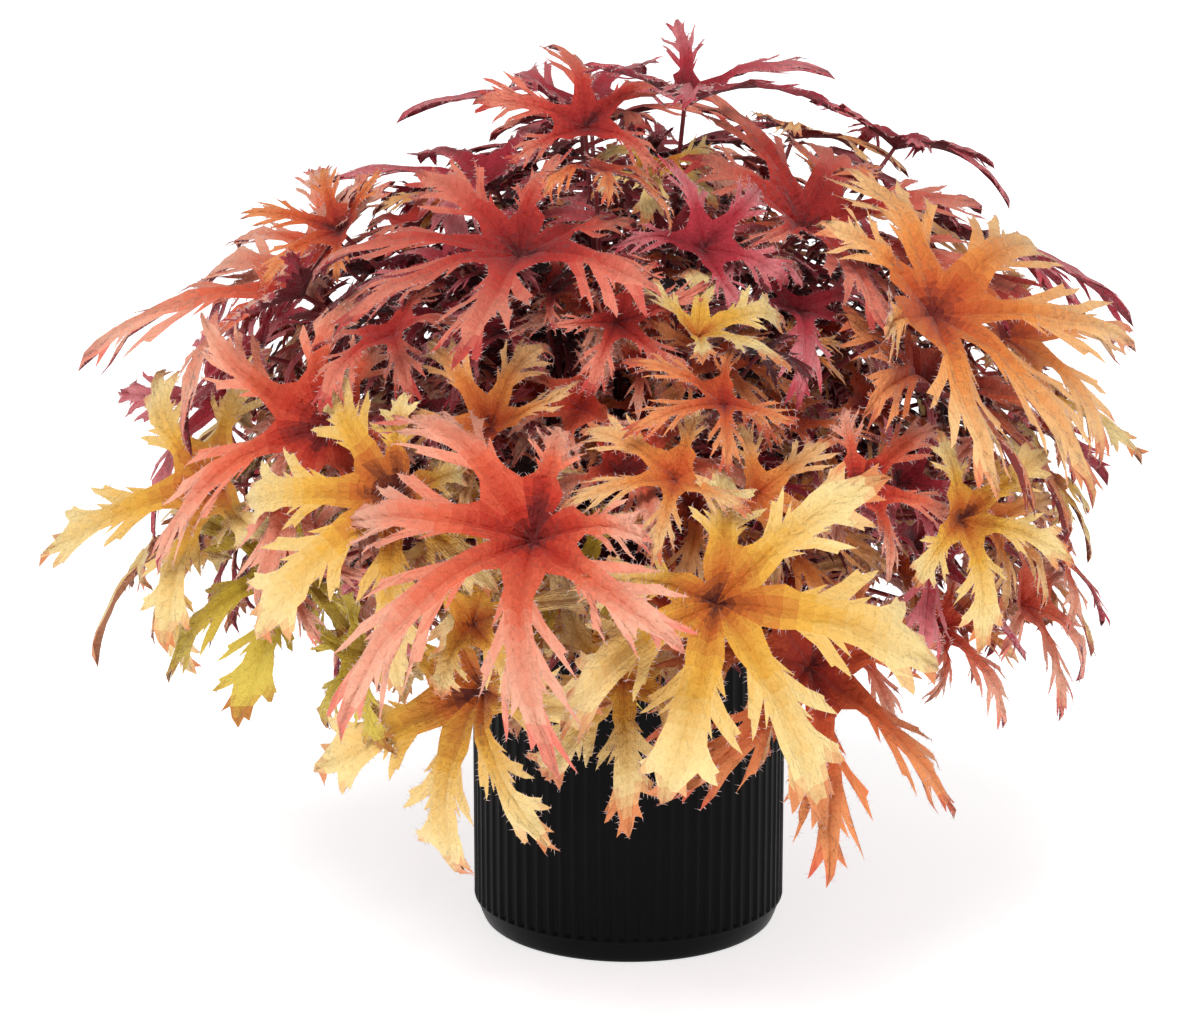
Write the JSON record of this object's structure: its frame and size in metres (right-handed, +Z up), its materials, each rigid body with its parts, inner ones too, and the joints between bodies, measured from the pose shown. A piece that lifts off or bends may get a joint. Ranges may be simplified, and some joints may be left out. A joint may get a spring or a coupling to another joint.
{
  "type": "potted coral bells",
  "caption": "Clump of cut-leaf coral bells in autumn gold, orange, coral and wine red, overhanging a slim black ribbed nursery pot.",
  "frame": {"origin": "middle of the pot's flat underside", "axes": "+Z up along the pot's axis, -Y towards the plant's front"},
  "size_m": [0.4457, 0.4485, 0.372],
  "materials": {
    "pot_plastic": "satin",
    "potting_mix": "matte",
    "root_bark": "matte",
    "leaf_gold": "matte",
    "leaf_coral": "matte",
    "leaf_wine": "matte"
  },
  "bodies": {
    "root": {"pot": "pot_plastic", "soil": "potting_mix", "rootstock": "root_bark", "foliage_low_1": "leaf_gold", "foliage_low_2": "leaf_gold", "foliage_low_3": "leaf_gold", "foliage_low_4": "leaf_gold", "foliage_low_5": "leaf_gold", "foliage_low_6": "leaf_gold", "foliage_low_7": "leaf_gold", "foliage_middle_1": "leaf_coral", "foliage_middle_2": "leaf_coral", "foliage_middle_3": "leaf_coral", "foliage_middle_4": "leaf_coral", "foliage_middle_5": "leaf_coral", "foliage_top_1": "leaf_wine", "foliage_top_2": "leaf_wine"}
  },
  "joints": []
}
